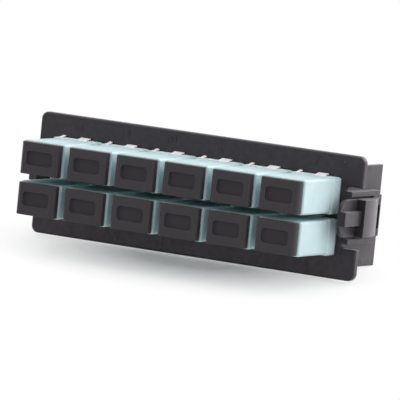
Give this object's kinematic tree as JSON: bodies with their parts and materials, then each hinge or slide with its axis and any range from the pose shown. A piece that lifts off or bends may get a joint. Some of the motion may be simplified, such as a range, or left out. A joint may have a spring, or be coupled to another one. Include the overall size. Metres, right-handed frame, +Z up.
{
  "type": "fibre adapter panel",
  "caption": "Snap-in panel of duplex fibre adapters with dust caps front and rear and a thumb latch at each end.",
  "frame": {"origin": "middle of the panel's rear seating plane", "axes": "+X along the panel to the right seen from the front, +Y to the rear, +Z up"},
  "size_m": [0.1, 0.0408, 0.0332],
  "materials": {
    "panel_black": "fine satin moulding",
    "cap_black": "fine satin moulding",
    "adapter_aqua": "smooth satin moulding",
    "clip_steel": "bright rolled spring steel"
  },
  "bodies": {
    "panel": {"panel": "panel_black", "adapter_front_01": "adapter_aqua", "adapter_rear_01": "adapter_aqua", "adapter_front_02": "adapter_aqua", "adapter_rear_02": "adapter_aqua", "adapter_front_03": "adapter_aqua", "adapter_rear_03": "adapter_aqua", "adapter_front_04": "adapter_aqua", "adapter_rear_04": "adapter_aqua", "adapter_front_05": "adapter_aqua", "adapter_rear_05": "adapter_aqua", "adapter_front_06": "adapter_aqua", "adapter_rear_06": "adapter_aqua", "adapter_front_07": "adapter_aqua", "adapter_rear_07": "adapter_aqua", "adapter_front_08": "adapter_aqua", "adapter_rear_08": "adapter_aqua", "adapter_front_09": "adapter_aqua", "adapter_rear_09": "adapter_aqua", "adapter_front_10": "adapter_aqua", "adapter_rear_10": "adapter_aqua", "adapter_front_11": "adapter_aqua", "adapter_rear_11": "adapter_aqua", "adapter_front_12": "adapter_aqua", "adapter_rear_12": "adapter_aqua", "retaining_clips": "clip_steel"},
    "latch_right": {"latch_right": "panel_black"},
    "latch_left": {"latch_left": "panel_black"},
    "front_cap_01": {"front_cap_01": "cap_black"},
    "front_cap_02": {"front_cap_02": "cap_black"},
    "front_cap_03": {"front_cap_03": "cap_black"},
    "front_cap_04": {"front_cap_04": "cap_black"},
    "front_cap_05": {"front_cap_05": "cap_black"},
    "front_cap_06": {"front_cap_06": "cap_black"},
    "front_cap_07": {"front_cap_07": "cap_black"},
    "front_cap_08": {"front_cap_08": "cap_black"},
    "front_cap_09": {"front_cap_09": "cap_black"},
    "front_cap_10": {"front_cap_10": "cap_black"},
    "front_cap_11": {"front_cap_11": "cap_black"},
    "front_cap_12": {"front_cap_12": "cap_black"},
    "rear_cap_01": {"rear_cap_01": "cap_black"},
    "rear_cap_02": {"rear_cap_02": "cap_black"},
    "rear_cap_03": {"rear_cap_03": "cap_black"},
    "rear_cap_04": {"rear_cap_04": "cap_black"},
    "rear_cap_05": {"rear_cap_05": "cap_black"},
    "rear_cap_06": {"rear_cap_06": "cap_black"},
    "rear_cap_07": {"rear_cap_07": "cap_black"},
    "rear_cap_08": {"rear_cap_08": "cap_black"},
    "rear_cap_09": {"rear_cap_09": "cap_black"},
    "rear_cap_10": {"rear_cap_10": "cap_black"},
    "rear_cap_11": {"rear_cap_11": "cap_black"},
    "rear_cap_12": {"rear_cap_12": "cap_black"}
  },
  "joints": [
    {"name": "latch_right_press", "type": "hinge", "parent": "panel", "child": "latch_right", "pos_m": [0.04685, 0.0136, 0], "axis": [0, 0, -1], "range_deg": [0, 2.5], "stiffness_Nm_per_rad": 2},
    {"name": "latch_left_press", "type": "hinge", "parent": "panel", "child": "latch_left", "pos_m": [-0.04685, 0.0136, 0], "axis": [0, 0, 1], "range_deg": [0, 2.5], "stiffness_Nm_per_rad": 2},
    {"name": "front_cap_01_pull", "type": "slide", "parent": "panel", "child": "front_cap_01", "axis": [0, -1, 0], "range_m": [0, 0.015]},
    {"name": "front_cap_02_pull", "type": "slide", "parent": "panel", "child": "front_cap_02", "axis": [0, -1, 0], "range_m": [0, 0.015]},
    {"name": "front_cap_03_pull", "type": "slide", "parent": "panel", "child": "front_cap_03", "axis": [0, -1, 0], "range_m": [0, 0.015]},
    {"name": "front_cap_04_pull", "type": "slide", "parent": "panel", "child": "front_cap_04", "axis": [0, -1, 0], "range_m": [0, 0.015]},
    {"name": "front_cap_05_pull", "type": "slide", "parent": "panel", "child": "front_cap_05", "axis": [0, -1, 0], "range_m": [0, 0.015]},
    {"name": "front_cap_06_pull", "type": "slide", "parent": "panel", "child": "front_cap_06", "axis": [0, -1, 0], "range_m": [0, 0.015]},
    {"name": "front_cap_07_pull", "type": "slide", "parent": "panel", "child": "front_cap_07", "axis": [0, -1, 0], "range_m": [0, 0.015]},
    {"name": "front_cap_08_pull", "type": "slide", "parent": "panel", "child": "front_cap_08", "axis": [0, -1, 0], "range_m": [0, 0.015]},
    {"name": "front_cap_09_pull", "type": "slide", "parent": "panel", "child": "front_cap_09", "axis": [0, -1, 0], "range_m": [0, 0.015]},
    {"name": "front_cap_10_pull", "type": "slide", "parent": "panel", "child": "front_cap_10", "axis": [0, -1, 0], "range_m": [0, 0.015]},
    {"name": "front_cap_11_pull", "type": "slide", "parent": "panel", "child": "front_cap_11", "axis": [0, -1, 0], "range_m": [0, 0.015]},
    {"name": "front_cap_12_pull", "type": "slide", "parent": "panel", "child": "front_cap_12", "axis": [0, -1, 0], "range_m": [0, 0.015]},
    {"name": "rear_cap_01_pull", "type": "slide", "parent": "panel", "child": "rear_cap_01", "axis": [0, 1, 0], "range_m": [0, 0.015]},
    {"name": "rear_cap_02_pull", "type": "slide", "parent": "panel", "child": "rear_cap_02", "axis": [0, 1, 0], "range_m": [0, 0.015]},
    {"name": "rear_cap_03_pull", "type": "slide", "parent": "panel", "child": "rear_cap_03", "axis": [0, 1, 0], "range_m": [0, 0.015]},
    {"name": "rear_cap_04_pull", "type": "slide", "parent": "panel", "child": "rear_cap_04", "axis": [0, 1, 0], "range_m": [0, 0.015]},
    {"name": "rear_cap_05_pull", "type": "slide", "parent": "panel", "child": "rear_cap_05", "axis": [0, 1, 0], "range_m": [0, 0.015]},
    {"name": "rear_cap_06_pull", "type": "slide", "parent": "panel", "child": "rear_cap_06", "axis": [0, 1, 0], "range_m": [0, 0.015]},
    {"name": "rear_cap_07_pull", "type": "slide", "parent": "panel", "child": "rear_cap_07", "axis": [0, 1, 0], "range_m": [0, 0.015]},
    {"name": "rear_cap_08_pull", "type": "slide", "parent": "panel", "child": "rear_cap_08", "axis": [0, 1, 0], "range_m": [0, 0.015]},
    {"name": "rear_cap_09_pull", "type": "slide", "parent": "panel", "child": "rear_cap_09", "axis": [0, 1, 0], "range_m": [0, 0.015]},
    {"name": "rear_cap_10_pull", "type": "slide", "parent": "panel", "child": "rear_cap_10", "axis": [0, 1, 0], "range_m": [0, 0.015]},
    {"name": "rear_cap_11_pull", "type": "slide", "parent": "panel", "child": "rear_cap_11", "axis": [0, 1, 0], "range_m": [0, 0.015]},
    {"name": "rear_cap_12_pull", "type": "slide", "parent": "panel", "child": "rear_cap_12", "axis": [0, 1, 0], "range_m": [0, 0.015]}
  ]
}
